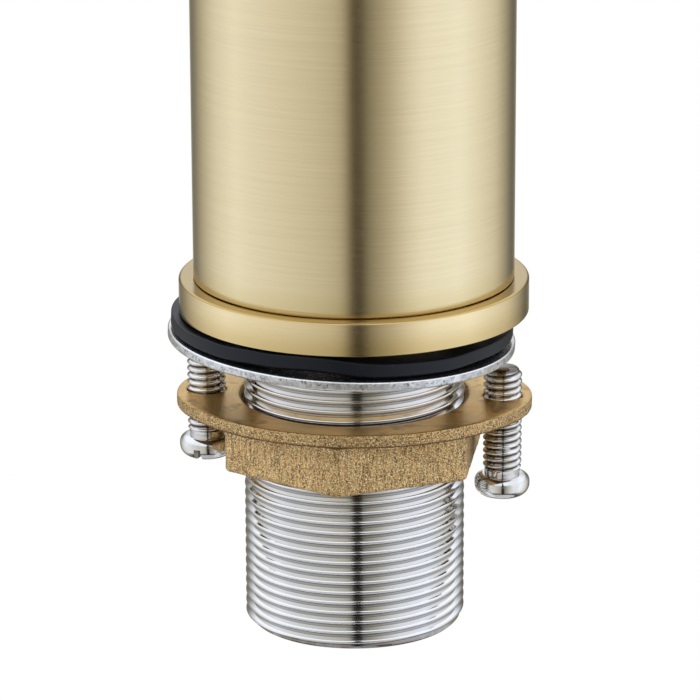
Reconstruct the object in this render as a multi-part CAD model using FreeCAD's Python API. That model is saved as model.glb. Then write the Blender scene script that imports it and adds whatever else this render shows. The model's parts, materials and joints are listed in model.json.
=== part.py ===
import FreeCAD, Part
import math
import os

# Tall basin mixer, in millimetres. The origin is on the column's axis in the plane of the deck, which
# the base ring stands on. +Z is up, and the spout points along -Y.

# Column and foot
column_od = 46.0
column_wall = 2.0
column_top = 285.0
foot_chamfer = 0.3
foot_bush_height = 10.0
foot_bush_wall = 5.05
ring_step = 2.1
ring_height = 4.85
ring_edge = 0.35
ring_foot_edge = 0.15
seal_section = 2.4
seal_sunk = 0.05

# Threaded shank that passes through the deck. Its radius is the foot bush's bore
shank_wall = 2.45
shank_length = 46.7
shank_end_chamfer = 1.0

# Loose rubber gasket and steel washer, which lean with their left side up
washer_inset = 0.1
washer_thickness = 1.35
washer_slack = 2.35
gasket_inset = 0.5
gasket_thickness = 2.4
gasket_slack = 2.05
gasket_bevel_height = 0.6
gasket_bevel_inset = 1.1
pack_tilt = 2.75
pack_gap = 0.4

# Flanged backnut
nut_drop = 12.75
plate_margin = 4.25
plate_shoulder = 0.7
plate_thickness = 2.05
plate_end_radius = 14.0
plate_edge = 0.3
nut_countersink = 0.8
hex_wall = 1.45
hex_height = 7.55
hex_corner = 1.4
hex_root = 0.4
nut_turn = -5.0
hex_turn = -2.7

# Jack screws in the backnut
screw_od = 5.7
screw_length = 15.7
screw_tip_chamfer = 0.6
screw_head_od = 7.8
screw_head_height = 3.2
screw_head_round = 1.3
screw_head_gap = 0.15
screw_slot_width = 1.0
screw_slot_depth = 1.3
left_slot_turn = 80.0
right_slot_turn = 25.0
right_screw_drop = 4.5

# Core casting, with the cartridge pocket on top and the hose sockets underneath
pocket_play = 0.1
inlet_spacing = 13.5
inlet_offset = 3.0
inlet_bore = 7.0
hose_thread_bore = 9.0
hose_thread_depth = 12.0
outlet_offset = 8.0
outlet_bore = 8.0
core_floor = 22.0
core_top_drop = 1.0

# Spout and its nipple
spout_drop = 40.0
spout_od = 26.0
spout_bore = 17.0
spout_reach = 143.0
spout_bend = 28.0
spout_fall = 16.0
spout_edge = 0.5
socket_wall = 2.6
nipple_step = 1.45
nipple_depth = 16.0
nipple_length = 24.0
nipple_bore = 11.0
spout_seal_section = 2.0
spout_seal_spacing = 7.0
spout_screw_od = 5.0
spout_screw_offset = 7.5
spout_screw_recess = 0.2

# Aerator in the spout's mouth
mouth_wall = 2.5
aerator_height = 8.5
aerator_wall = 1.3
aerator_lip = 1.0
aerator_recess = 0.6
aerator_washer_height = 1.4
aerator_washer_width = 3.5
jet_bore = 2.4
jet_pitch = 3.4

# Cartridge with ceramic discs
cartridge_room = 3.5
cartridge_wall = 1.9
cartridge_base_height = 4.5
base_lift = 0.4
port_seal_width = 1.2
port_seal_height = 2.0
disc_room = 0.6
disc_height = 4.0
disc_travel_room = 4.0
disc_hollow_depth = 2.0
disc_hollow_edge = 3.0
carrier_height = 5.1
neck_ledge = 5.0
neck_rise = 5.0
neck_wall = 1.9
roof_height = 2.0
spindle_flange_height = 2.3
spindle_sunk = 0.6
slot_side_play = 0.2
slot_swing = 3.6
pivot_pin_od = 3.0
pivot_pin_inset = 1.0

# Stem, its tilt and its ball, measured from the tilt's centre
dome_rise = 5.5
stem_room = 2.5
stem_top = 30.0
stem_low = 6.0
finger_od = 3.6
ball_od = 5.0
rest_tilt = 12.5
ball_pocket_play = 0.2
ball_pocket_floor = 0.3

# Retaining nut and dome
nut_ring_overhang = 1.0
nut_ring_height = 4.5
nut_ring_notch = 3.0
nut_ring_notch_depth = 2.0
notch_count = 4
dome_inset = 2.0
dome_wall = 1.4
dome_lip = 1.0
dome_skirt = 5.0
dome_opening = 32.0

# Handle
cap_gap = 0.5
cap_rim = 6.2
cap_top = 36.0
cap_edge = 1.0
lever_height = 22.0
lever_od = 8.0
lever_length = 46.0
lever_shoulder = 1.0
lever_thread_length = 10.0
lever_round = 1.5
grub_od = 5.0
grub_length = 9.0
grub_height = 24.0
plug_step = 0.5
plug_length = 3.0

# Clearances, and how far a cutting shape runs past what it cuts
play = 0.05
touch = 0.1
sweep = 1.0

# Radii and places at the foot
column_r = column_od / 2
column_bore_r = column_r - column_wall
ring_r = column_r + ring_step
shank_r = column_bore_r - foot_bush_wall
foot_bush_top = ring_height + foot_bush_height
seal_mid = (shank_r + ring_r) / 2

# Radii and places of the loose pack and the backnut
washer_r = ring_r - washer_inset
gasket_r = ring_r - gasket_inset
washer_hole_r = shank_r + washer_slack
gasket_hole_r = shank_r + gasket_slack
pack_shift = gasket_slack - pack_gap
pack_lean = math.tan(math.radians(pack_tilt))
gasket_top = -(touch + (ring_r - pack_shift) * pack_lean)
pack_height = gasket_thickness + washer_thickness
hex_across_flats = 2 * (shank_r + hex_wall)
hex_corner_r = hex_across_flats / math.sqrt(3)
screw_circle = hex_across_flats + screw_head_od + 2 * screw_head_gap
plate_length = screw_circle + 2 * plate_margin
plate_width = 2 * (hex_corner_r + plate_shoulder)
plate_low = -nut_drop - plate_thickness
hex_low = plate_low - hex_height

# Radii and heights of the cartridge, its nut and its dome
tilt_centre = column_top + dome_rise
cartridge_r = column_bore_r - cartridge_room
cartridge_inner_r = cartridge_r - cartridge_wall
disc_r = cartridge_inner_r - disc_room
moving_disc_r = disc_r - disc_travel_room
neck_r = cartridge_r - neck_ledge
neck_bore_r = neck_r - neck_wall
neck_top = tilt_centre + neck_rise
nut_ring_r = cartridge_r + nut_ring_overhang
roof_low = column_top - roof_height
spindle_neck_r = neck_bore_r - 2 * play
spindle_top = neck_top - spindle_sunk
spindle_low = roof_low - 2 * play - spindle_flange_height
carrier_low = spindle_low - carrier_height
moving_low = carrier_low - disc_height
disc_low = moving_low - play - disc_height
base_high = disc_low - play
base_low = base_high - cartridge_base_height
seat = base_low - base_lift
stem_side = spindle_neck_r - stem_room
ball_low = carrier_low + ball_pocket_floor + ball_pocket_play
ball_reach = tilt_centre - ball_low - ball_od / 2
ball_y = ball_reach * math.sin(math.radians(rest_tilt))
dome_radius = column_r - dome_inset
top_thread_r = column_bore_r - dome_wall + play

# Places of the core and the spout
spout_z = column_top - spout_drop
core_low = spout_z - core_floor
core_top = tilt_centre - core_top_drop
mouth_z = spout_z - spout_bend - spout_fall
straight_end = spout_reach - spout_bend
nipple_body_r = spout_od / 2 - socket_wall
nipple_thread_r = nipple_body_r - nipple_step
nipple_near = column_bore_r - nipple_depth
nipple_far = column_r + nipple_length
groove_r = nipple_body_r - spout_seal_section + play
spout_screw_y = -(column_r + spout_screw_offset)
aerator_r = spout_od / 2 - mouth_wall
aerator_low = mouth_z + aerator_recess
aerator_high = aerator_low + aerator_height
aerator_seat = aerator_high + aerator_washer_height

UP = FreeCAD.Vector(0, 0, 1)
RIGHT = FreeCAD.Vector(1, 0, 0)
FRONT = FreeCAD.Vector(0, -1, 0)
ORIGIN = FreeCAD.Vector(0, 0, 0)


def cylinder(radius, low, high, x=0.0, y=0.0):
    """An upright round bar between two heights."""
    return Part.makeCylinder(radius, high - low, FreeCAD.Vector(x, y, low), UP)


def tube(outer, inner, low, high, x=0.0, y=0.0):
    """An upright tube between two heights."""
    return cylinder(outer, low, high, x, y).cut(cylinder(inner, low - sweep, high + sweep, x, y))


def forward_bar(radius, near, far, height):
    """A round bar along -Y, from near to far in front of the axis."""
    return Part.makeCylinder(radius, far - near, FreeCAD.Vector(0, -near, height), FRONT)


def block(width, depth, low, high, x=0.0, y=0.0):
    """An upright rectangular bar, centred on x and y."""
    corner = FreeCAD.Vector(x - width / 2, y - depth / 2, low)
    return Part.makeBox(width, depth, high - low, corner)


def hexagon(corner_r, low, high, x=0.0, y=0.0, first_corner=0.0):
    """An upright six-sided bar."""
    angles = [math.radians(first_corner + 60 * step) for step in range(7)]
    corners = [FreeCAD.Vector(x + corner_r * math.cos(a), y + corner_r * math.sin(a), low) for a in angles]
    return Part.Face(Part.makePolygon(corners)).extrude(FreeCAD.Vector(0, 0, high - low))


def turned(start, *steps):
    """Turn a closed outline of (radius, height) points about the axis. A pair of points is an arc."""
    edges = []
    here = FreeCAD.Vector(start[0], 0, start[1])
    for step in steps + (start,):
        stops = step if isinstance(step[0], tuple) else (step,)
        points = [FreeCAD.Vector(radius, 0, height) for radius, height in stops]
        if len(points) == 2:
            edges.append(Part.Arc(here, points[0], points[1]).toShape())
        elif here.distanceToPoint(points[0]) > 1e-6:
            edges.append(Part.makeLine(here, points[0]))
        here = points[-1]
    return Part.Face(Part.Wire(edges)).revolve(ORIGIN, UP, 360)


def o_ring(radius, section, height):
    """A round-section ring lying flat at a height."""
    return Part.makeTorus(radius, section / 2, FreeCAD.Vector(0, 0, height), UP)


def about_x(shape, degrees, height):
    """Turn a shape about the X direction through the axis at a height."""
    shape.rotate(FreeCAD.Vector(0, 0, height), RIGHT, degrees)
    return shape


def write(name, shape, solids=1):
    """Save one piece, and report it."""
    parts = shape.Solids
    kept = parts[0] if len(parts) == 1 else Part.makeCompound(parts)
    kept.exportStep(f"parts/{name}.step")
    state = "ok" if kept.isValid() and len(parts) == solids else "CHECK"
    print(f"{name:20s} {len(parts)} solid, {kept.Volume / 1000:8.3f} cm3, {state}")


def column_tube():
    """The brushed column, with a hole in front for the spout's nipple."""
    outer = turned(
        (0, ring_height),
        (column_r - foot_chamfer, ring_height),
        (column_r, ring_height + foot_chamfer),
        (column_r, column_top),
        (0, column_top),
    )
    bore = cylinder(column_bore_r, ring_height - sweep, column_top + sweep)
    hole = forward_bar(nipple_thread_r + 2 * play, 0, column_r + sweep, spout_z)
    return outer.cut(bore).cut(hole)


def foot_bush():
    """The bush soldered into the column's foot, which the shank screws into."""
    return tube(column_bore_r - play, shank_r + play, ring_height, foot_bush_top)


def base_ring():
    """The ring under the column, grooved underneath for its seal."""
    body = cylinder(ring_r, 0, ring_height)
    top = [edge for edge in body.Edges if edge.Closed and edge.CenterOfMass.z > play]
    body = body.makeFillet(ring_edge, top)
    foot = [edge for edge in body.Edges if edge.Closed and edge.CenterOfMass.z < play]
    body = body.makeFillet(ring_foot_edge, foot)
    groove = tube(
        seal_mid + seal_section / 2 + play,
        seal_mid - seal_section / 2 - play,
        -sweep,
        seal_section + seal_sunk + play,
    )
    return body.cut(cylinder(shank_r + play, -sweep, ring_height + sweep)).cut(groove)


def foot_seal():
    """The O-ring in the base ring's groove, drawn flush as it sits when tightened."""
    return o_ring(seal_mid, seal_section, seal_section / 2 + seal_sunk)


def threaded_shank():
    """The hollow shank that the hoses pass through, chamfered at its lower end."""
    bore_r = shank_r - shank_wall
    return turned(
        (bore_r, -shank_length),
        (shank_r - shank_end_chamfer, -shank_length),
        (shank_r, -shank_length + shank_end_chamfer),
        (shank_r, foot_bush_top),
        (bore_r, foot_bush_top),
    )


def lean(shape):
    """Lay a piece of the loose pack as it rests: pushed to the left, with its left side up."""
    shape.rotate(ORIGIN, FreeCAD.Vector(0, 1, 0), pack_tilt)
    shape.translate(FreeCAD.Vector(-pack_shift, 0, gasket_top))
    return shape


def rubber_gasket():
    """The gasket, whose lower edge is bevelled."""
    bevel_top = -gasket_thickness + gasket_bevel_height
    return lean(
        turned(
            (gasket_hole_r, 0),
            (gasket_r, 0),
            (gasket_r, bevel_top),
            (gasket_r - gasket_bevel_inset, -gasket_thickness),
            (gasket_hole_r, -gasket_thickness),
        )
    )


def steel_washer():
    """The plain washer under the gasket."""
    return lean(tube(washer_r, washer_hole_r, -pack_height, -gasket_thickness))


def oval_plate():
    """The nut's plate: an oval of two wide arcs and two end arcs, all tangent."""
    half, side, end = plate_length / 2, plate_width / 2, plate_end_radius
    end_x = half - end
    wide = (end_x**2 + side**2 - end**2) / (2 * (side - end))
    centre_y = wide - side
    reach = math.hypot(end_x, centre_y)
    join_x, join_y = end_x * wide / reach, centre_y * (wide / reach - 1)

    def point(x, y):
        return FreeCAD.Vector(x, y, plate_low)

    edges = [
        Part.Arc(point(-join_x, join_y), point(0, side), point(join_x, join_y)).toShape(),
        Part.Arc(point(join_x, join_y), point(half, 0), point(join_x, -join_y)).toShape(),
        Part.Arc(point(join_x, -join_y), point(0, -side), point(-join_x, -join_y)).toShape(),
        Part.Arc(point(-join_x, -join_y), point(-half, 0), point(-join_x, join_y)).toShape(),
    ]
    plate = Part.Face(Part.Wire(edges)).extrude(FreeCAD.Vector(0, 0, plate_thickness))
    return plate.makeFillet(plate_edge, plate.Edges)


def screw_place(side):
    """Where a jack screw stands in the plate, before the nut is turned: -1 is left, 1 is right."""
    return side * screw_circle / 2


def backnut():
    """The cast flanged nut: an oval plate over a hexagon, bored for the shank and two screws."""
    hexed = hexagon(hex_corner_r, hex_low, plate_low, first_corner=30)
    upright = [edge for edge in hexed.Edges if abs(edge.Length - hex_height) < 1e-6]
    hexed = hexed.makeFillet(hex_corner, upright)
    hexed.rotate(ORIGIN, UP, hex_turn)
    body = oval_plate().fuse(hexed)
    outline = [edge.CenterOfMass for edge in hexed.Edges if abs(edge.BoundBox.ZMin - plate_low) < 1e-6]
    root = [e for e in body.Edges if any(e.CenterOfMass.distanceToPoint(c) < 1e-3 for c in outline)]
    body = body.makeFillet(hex_root, root)
    bore_r = shank_r + play
    mouth = turned(
        (0, -nut_drop + sweep),
        (bore_r + nut_countersink + sweep, -nut_drop + sweep),
        (bore_r, -nut_drop - nut_countersink),
        (0, -nut_drop - nut_countersink),
    )
    body = body.cut(cylinder(bore_r, hex_low - sweep, 0)).cut(mouth)
    for side in (-1, 1):
        body = body.cut(cylinder(screw_od / 2 + play, plate_low - sweep, 0, screw_place(side)))
    body.rotate(ORIGIN, UP, nut_turn)
    return body


def screw_tip(side):
    """A screw's upper end. The left one just meets the leaning washer, on the side that hangs lower."""
    inner_edge = screw_place(-1) + screw_od / 2
    washer_middle = gasket_top - pack_height / math.cos(math.radians(pack_tilt))
    washer_underside = washer_middle - (inner_edge + pack_shift) * pack_lean
    left_tip = washer_underside - touch
    return left_tip if side < 0 else left_tip - right_screw_drop


def jack_screw(side, slot_turn):
    """A pan-head screw standing head down in the plate."""
    shaft_r, head_r = screw_od / 2 - play, screw_head_od / 2
    tip = screw_tip(side)
    head_high = tip - screw_length
    head_low = head_high - screw_head_height
    arc = screw_head_round * (1 - math.sqrt(0.5))
    body = turned(
        (0, head_low),
        (head_r - screw_head_round, head_low),
        ((head_r - arc, head_low + arc), (head_r, head_low + screw_head_round)),
        (head_r, head_high - screw_head_round),
        ((head_r - arc, head_high - arc), (head_r - screw_head_round, head_high)),
        (shaft_r, head_high),
        (shaft_r, tip - screw_tip_chamfer),
        (shaft_r - screw_tip_chamfer, tip),
        (0, tip),
    )
    slot = block(screw_head_od + sweep, screw_slot_width, head_low - sweep, head_low + screw_slot_depth)
    slot.rotate(ORIGIN, UP, slot_turn)
    body = body.cut(slot)
    body.translate(FreeCAD.Vector(screw_place(side), 0, 0))
    body.rotate(ORIGIN, UP, nut_turn)
    return body


def left_jack_screw():
    """The screw that stands higher, against the washer."""
    return jack_screw(-1, left_slot_turn)


def right_jack_screw():
    """The screw that stands lower."""
    return jack_screw(1, right_slot_turn)


def ports():
    """The places of the cold inlet, the hot inlet and the outlet, seen from above."""
    return [
        (inlet_spacing / 2, inlet_offset, inlet_bore / 2),
        (-inlet_spacing / 2, inlet_offset, inlet_bore / 2),
        (0, -outlet_offset, outlet_bore / 2),
    ]


def mixer_core():
    """The casting in the column's head that joins hoses, cartridge and spout."""
    body = turned(
        (0, core_low),
        (column_bore_r - play, core_low),
        (column_bore_r - play, column_top - dome_skirt - play),
        (top_thread_r - play, column_top - dome_skirt - play),
        (top_thread_r - play, core_top),
        (0, core_top),
    )
    body = body.cut(cylinder(cartridge_r + pocket_play, seat, core_top + sweep))
    body = body.cut(cylinder(nut_ring_r + play, column_top, core_top + sweep))
    for x, y, radius in ports()[:2]:
        body = body.cut(cylinder(radius, core_low - sweep, seat + sweep, x, y))
        body = body.cut(cylinder(hose_thread_bore / 2, core_low - sweep, core_low + hose_thread_depth, x, y))
    x, y, radius = ports()[2]
    body = body.cut(cylinder(radius, spout_z, seat + sweep, x, y))
    return body.cut(forward_bar(nipple_thread_r + play, nipple_near, column_r, spout_z))


def seal_places():
    """How far in front of the axis each of the spout's two seals lies."""
    first = nipple_far - spout_seal_section
    return [first, first - spout_seal_spacing]


def spout_nipple():
    """The nipple screwed into the core, on which the spout slides."""
    thread = forward_bar(nipple_thread_r, nipple_near + play, nipple_far, spout_z)
    sleeve = forward_bar(nipple_body_r, 0, nipple_far, spout_z)
    sleeve = sleeve.cut(cylinder(column_r + play, core_low, column_top))
    body = thread.fuse(sleeve).removeSplitter()
    for place in seal_places():
        half = spout_seal_section / 2
        groove = forward_bar(nipple_body_r + sweep, place - half, place + half, spout_z)
        body = body.cut(groove.cut(forward_bar(groove_r, 0, nipple_far, spout_z)))
    return body.cut(forward_bar(nipple_bore / 2, 0, nipple_far + sweep, spout_z))


def spout_seals():
    """The two O-rings on the nipple, drawn squeezed to their groove."""
    rings = []
    for place in seal_places():
        half = spout_seal_section / 2 - play
        outer = forward_bar(nipple_body_r + play, place - half, place + half, spout_z)
        rings.append(outer.cut(forward_bar(groove_r + play, 0, nipple_far + sweep, spout_z)))
    return Part.makeCompound(rings)


def bent_bar(radius, near, low):
    """A round bar along the spout's line: forward, round the bend and down to a height."""
    start = forward_bar(radius, near, straight_end, spout_z)
    disc = Part.Face(Part.Wire(Part.makeCircle(radius, FreeCAD.Vector(0, -straight_end, spout_z), FRONT)))
    hub = FreeCAD.Vector(0, -straight_end, spout_z - spout_bend)
    bend = disc.revolve(hub, RIGHT, 90)
    drop = cylinder(radius, low, spout_z - spout_bend, 0, -spout_reach)
    return start.fuse([bend, drop]).removeSplitter()


def spout_tube():
    """The round spout, saddled on the column, with a seat for the aerator in its mouth."""
    body = bent_bar(spout_od / 2, 0, mouth_z)
    rim = [edge for edge in body.Edges if edge.Closed and abs(edge.CenterOfMass.z - mouth_z) < 1e-6]
    body = body.makeFillet(spout_edge, rim)
    body = body.cut(cylinder(column_r + play, core_low - spout_od, column_top))
    body = body.cut(bent_bar(spout_bore / 2, column_r, mouth_z - sweep))
    body = body.cut(forward_bar(nipple_body_r + 2 * play, 0, nipple_far + play, spout_z))
    body = body.cut(cylinder(aerator_r + play, mouth_z - sweep, aerator_seat, 0, -spout_reach))
    hole = cylinder(spout_screw_od / 2 + play, spout_z - spout_od, spout_z, 0, spout_screw_y)
    return body.cut(hole)


def spout_grub_screw():
    """The screw under the spout's root that holds it on the nipple."""
    radius = spout_screw_od / 2
    top = spout_z - nipple_body_r - play
    low = spout_z - spout_od / 2 + spout_screw_recess
    body = cylinder(radius, low, top, 0, spout_screw_y)
    return body.cut(hexagon(radius / math.sqrt(3), low - sweep, (low + top) / 2, 0, spout_screw_y))


def aerator_housing():
    """The ring that screws into the mouth and holds the insert."""
    inner = aerator_r - aerator_wall
    return turned(
        (inner - aerator_lip, aerator_low),
        (aerator_r, aerator_low),
        (aerator_r, aerator_high),
        (inner, aerator_high),
        (inner, aerator_low + aerator_lip),
        (inner - aerator_lip, aerator_low + aerator_lip),
    ).translated(FreeCAD.Vector(0, -spout_reach, 0))


def aerator_insert():
    """The plastic insert, with its jets on a triangular grid."""
    radius = aerator_r - aerator_wall - play
    body = cylinder(radius, aerator_low + aerator_lip + play, aerator_high)
    jets = []
    steps = int(radius / jet_pitch) + 1
    for row in range(-steps, steps + 1):
        for column in range(-steps, steps + 1):
            x = (column + (row % 2) / 2) * jet_pitch
            y = row * jet_pitch * math.sqrt(3) / 2
            if math.hypot(x, y) + jet_bore / 2 < radius - aerator_lip:
                jets.append(cylinder(jet_bore / 2, aerator_low, aerator_high + sweep, x, y))
    return body.cut(jets).translated(FreeCAD.Vector(0, -spout_reach, 0))


def aerator_washer():
    """The rubber washer between the aerator and its seat in the spout."""
    outer = aerator_r - play
    return tube(outer, aerator_r - aerator_washer_width, aerator_high, aerator_seat - play, 0, -spout_reach)


def cartridge_base():
    """The cartridge's foot, with its three ports and the pockets of their seals."""
    body = cylinder(cartridge_r - play, base_low, base_high)
    for x, y, radius in ports():
        body = body.cut(cylinder(radius - play, base_low - sweep, base_high + sweep, x, y))
        pocket_r = radius + port_seal_width + play
        body = body.cut(cylinder(pocket_r, base_low - sweep, seat + port_seal_height + play, x, y))
    return body


def port_seals():
    """The three rubber rings between the cartridge and the core."""
    rings = [
        tube(radius + port_seal_width, radius + play, seat + play, seat + port_seal_height, x, y)
        for x, y, radius in ports()
    ]
    return Part.makeCompound(rings)


def fixed_disc():
    """The ceramic disc that stands still, with its three ports."""
    body = cylinder(disc_r, disc_low, disc_low + disc_height)
    for x, y, radius in ports():
        body = body.cut(cylinder(radius - 2 * play, disc_low - sweep, disc_low + disc_height + sweep, x, y))
    return body


def moving_disc():
    """The ceramic disc that slides, hollowed underneath so that it joins the ports."""
    body = cylinder(moving_disc_r, moving_low, moving_low + disc_height, 0, ball_y)
    low, high = moving_low - sweep, moving_low + disc_hollow_depth
    end_r = outlet_bore / 2
    reach = moving_disc_r - disc_hollow_edge - end_r
    hollow = block(2 * end_r, 2 * reach, low, high, 0, ball_y)
    for end in (-reach, reach):
        hollow = hollow.fuse(cylinder(end_r, low, high, 0, ball_y + end))
    return body.cut(hollow)


def disc_carrier():
    """The plastic carrier on the moving disc, with the pocket that the stem's ball drives."""
    high = carrier_low + carrier_height
    body = cylinder(moving_disc_r, carrier_low, high, 0, ball_y)
    side = ball_od + 2 * ball_pocket_play
    return body.cut(block(side, side, carrier_low + ball_pocket_floor, high + sweep, 0, ball_y))


def cartridge_shell():
    """The cartridge's plastic housing, with the neck that the spindle turns in."""
    low = base_high + play
    return turned(
        (cartridge_inner_r, low),
        (cartridge_r, low),
        (cartridge_r, column_top),
        (neck_r, column_top),
        (neck_r, neck_top),
        (neck_bore_r, neck_top),
        (neck_bore_r, roof_low),
        (cartridge_inner_r, roof_low),
    )


def pivot_bar(radius, length):
    """A round bar along X through the tilt's centre."""
    return Part.makeCylinder(radius, length, FreeCAD.Vector(-length / 2, 0, tilt_centre), RIGHT)


def spindle_housing():
    """The turning insert that carries the stem's pivot."""
    flange_r = cartridge_inner_r - 3 * play
    flange_high = spindle_low + spindle_flange_height
    body = turned(
        (0, spindle_low),
        (flange_r, spindle_low),
        (flange_r, flange_high),
        (spindle_neck_r, flange_high),
        (spindle_neck_r, spindle_top),
        (0, spindle_top),
    )
    width, length = stem_side + 2 * slot_side_play, stem_side + slot_swing
    slot = block(width, length, spindle_low - sweep, spindle_top + sweep)
    return body.cut(slot).cut(pivot_bar(pivot_pin_od / 2 + play, 2 * neck_r))


def pivot_pin():
    """The pin that the stem tilts on."""
    return pivot_bar(pivot_pin_od / 2, 2 * (spindle_neck_r - pivot_pin_inset))


def lever_spindle():
    """The square stem, with the finger and ball that push the carrier."""
    body = block(stem_side, stem_side, tilt_centre - stem_low, tilt_centre + stem_top)
    finger = cylinder(finger_od / 2, tilt_centre - ball_reach, tilt_centre)
    ball = Part.makeSphere(ball_od / 2, FreeCAD.Vector(0, 0, tilt_centre - ball_reach))
    body = body.fuse([finger, ball]).removeSplitter()
    return about_x(body, rest_tilt, tilt_centre).cut(pivot_bar(pivot_pin_od / 2 + play, 2 * neck_r))


def retaining_nut():
    """The brass ring that holds the cartridge down, notched for its spanner."""
    top = column_top + nut_ring_height
    body = tube(nut_ring_r, neck_r + 2 * play, column_top + play, top)
    length = nut_ring_r + sweep
    for step in range(notch_count):
        notch = block(length, nut_ring_notch, top - nut_ring_notch_depth, top + sweep, neck_r + length / 2)
        notch.rotate(ORIGIN, UP, 360 / notch_count * step)
        body = body.cut(notch)
    return body


def dress_ring():
    """The domed ring that covers the retaining nut. Its dome is centred on the stem's pivot."""
    inner = dome_radius - dome_wall
    lip_high = column_top + dome_lip
    skirt_r = column_bore_r - play
    opening = math.radians(dome_opening)
    middle = (opening + math.pi / 2) / 2

    def on_dome(radius, angle):
        return (radius * math.sin(angle), tilt_centre + radius * math.cos(angle))

    return turned(
        (top_thread_r, column_top - dome_skirt),
        (skirt_r, column_top - dome_skirt),
        (skirt_r, column_top),
        (column_r, column_top),
        (column_r, lip_high),
        (dome_radius, lip_high),
        (dome_radius, tilt_centre),
        (on_dome(dome_radius, middle), on_dome(dome_radius, opening)),
        on_dome(inner, opening),
        (on_dome(inner, middle), (inner, tilt_centre)),
        (top_thread_r, core_top + play),
    )


def grub_bar(radius, near, far):
    """A round bar square to the stem's back face."""
    start = FreeCAD.Vector(0, near, tilt_centre + grub_height)
    bar = Part.makeCylinder(radius, far - near, start, FreeCAD.Vector(0, 1, 0))
    return about_x(bar, rest_tilt, tilt_centre)


def plug_near():
    """How far behind the stem the plug starts, measured square to the stem."""
    tilt = math.radians(rest_tilt)
    surface = (column_r + grub_height * math.sin(tilt)) / math.cos(tilt)
    return surface - plug_length


def handle_cap():
    """The handle's cap, hollowed to a sphere that glides over the dome."""
    high = tilt_centre + cap_top
    body = cylinder(column_r, tilt_centre + cap_rim, high)
    edge = [e for e in body.Edges if e.Closed and e.CenterOfMass.z > high - play]
    body = body.makeFillet(cap_edge, edge)
    body = body.cut(Part.makeSphere(dome_radius + cap_gap, FreeCAD.Vector(0, 0, tilt_centre)))
    socket_side = stem_side + 2 * play
    socket = block(socket_side, socket_side, tilt_centre, tilt_centre + stem_top + play)
    body = body.cut(about_x(socket, rest_tilt, tilt_centre))
    near = column_r - lever_thread_length
    thread_r = lever_od / 2 - lever_shoulder
    body = body.cut(forward_bar(thread_r, near, column_od, tilt_centre + lever_height))
    body = body.cut(grub_bar(grub_od / 2 + play, 0, column_od))
    return body.cut(grub_bar(grub_od / 2 + plug_step + play, plug_near(), column_od))


def lever_pin():
    """The pin lever, screwed into the front of the cap."""
    height = tilt_centre + lever_height
    far = column_r + lever_length
    bar = forward_bar(lever_od / 2, 0, far, height)
    tip = [e for e in bar.Edges if e.Closed and e.CenterOfMass.y < -far + play]
    bar = bar.makeFillet(lever_round, tip)
    bar = bar.cut(cylinder(column_r + play, height - lever_od, height + lever_od))
    near = column_r - lever_thread_length + play
    thread = forward_bar(lever_od / 2 - lever_shoulder - play, near, column_od, height)
    return bar.fuse(thread).removeSplitter()


def handle_grub_screw():
    """The grub screw that holds the cap on the stem."""
    near = stem_side / 2 + play
    return grub_bar(grub_od / 2, near, near + grub_length)


def index_plug():
    """The plain plug that closes the grub screw's hole, flush with the cap."""
    bar = grub_bar(grub_od / 2 + plug_step, plug_near() + play, column_od)
    return bar.common(cylinder(column_r, tilt_centre, tilt_centre + cap_top))


os.makedirs("parts", exist_ok=True)
for make in (
    column_tube,
    foot_bush,
    base_ring,
    foot_seal,
    threaded_shank,
    rubber_gasket,
    steel_washer,
    backnut,
    left_jack_screw,
    right_jack_screw,
    mixer_core,
    spout_nipple,
    spout_tube,
    spout_grub_screw,
    aerator_housing,
    aerator_insert,
    aerator_washer,
    cartridge_base,
    fixed_disc,
    moving_disc,
    disc_carrier,
    cartridge_shell,
    spindle_housing,
    pivot_pin,
    lever_spindle,
    retaining_nut,
    dress_ring,
    handle_cap,
    lever_pin,
    handle_grub_screw,
    index_plug,
):
    write(make.__name__, make())

write("spout_seals", spout_seals(), solids=len(seal_places()))
write("port_seals", port_seals(), solids=len(ports()))
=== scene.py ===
# %% [markdown]
# # A tall basin mixer, dressed on its frame
# The frame holds every piece of the mixer as an exact solid, in metres, with +Z up and the spout
# towards -Y. This lesson gives those pieces their finish: a brushed gold column on a ring, a loose
# rubber gasket and steel washer, a cast brass backnut with two jack screws, and a plated shank.
# A solid whose shape is already right keeps it and only gets a material. Where the eye would find
# facets, missing threads or edges that are too sharp, a new surface is worked out with numpy. It
# could be modelled by hand as well, but a formula is exact and says what it does.

# %% Load the frame
import json
import math
import bmesh
import bpy
import numpy as np
from mathutils import Matrix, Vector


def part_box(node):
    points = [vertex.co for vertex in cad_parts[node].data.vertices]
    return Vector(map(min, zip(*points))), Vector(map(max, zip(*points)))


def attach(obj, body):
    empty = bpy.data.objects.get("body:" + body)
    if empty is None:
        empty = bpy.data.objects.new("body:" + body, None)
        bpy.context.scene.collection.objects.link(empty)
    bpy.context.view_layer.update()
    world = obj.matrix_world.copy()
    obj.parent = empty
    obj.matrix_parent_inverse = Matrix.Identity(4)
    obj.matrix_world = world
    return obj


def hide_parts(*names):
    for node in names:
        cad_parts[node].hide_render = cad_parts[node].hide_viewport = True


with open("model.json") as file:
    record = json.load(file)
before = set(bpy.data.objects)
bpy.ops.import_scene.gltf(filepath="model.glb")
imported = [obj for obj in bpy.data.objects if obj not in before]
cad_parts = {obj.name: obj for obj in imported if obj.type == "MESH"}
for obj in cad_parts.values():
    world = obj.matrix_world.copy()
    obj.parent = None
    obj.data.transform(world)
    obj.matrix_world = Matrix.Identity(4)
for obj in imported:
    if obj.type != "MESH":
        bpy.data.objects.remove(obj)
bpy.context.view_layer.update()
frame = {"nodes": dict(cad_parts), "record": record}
nodes = frame["nodes"]
print("pieces in the frame:", len(nodes))

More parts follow.
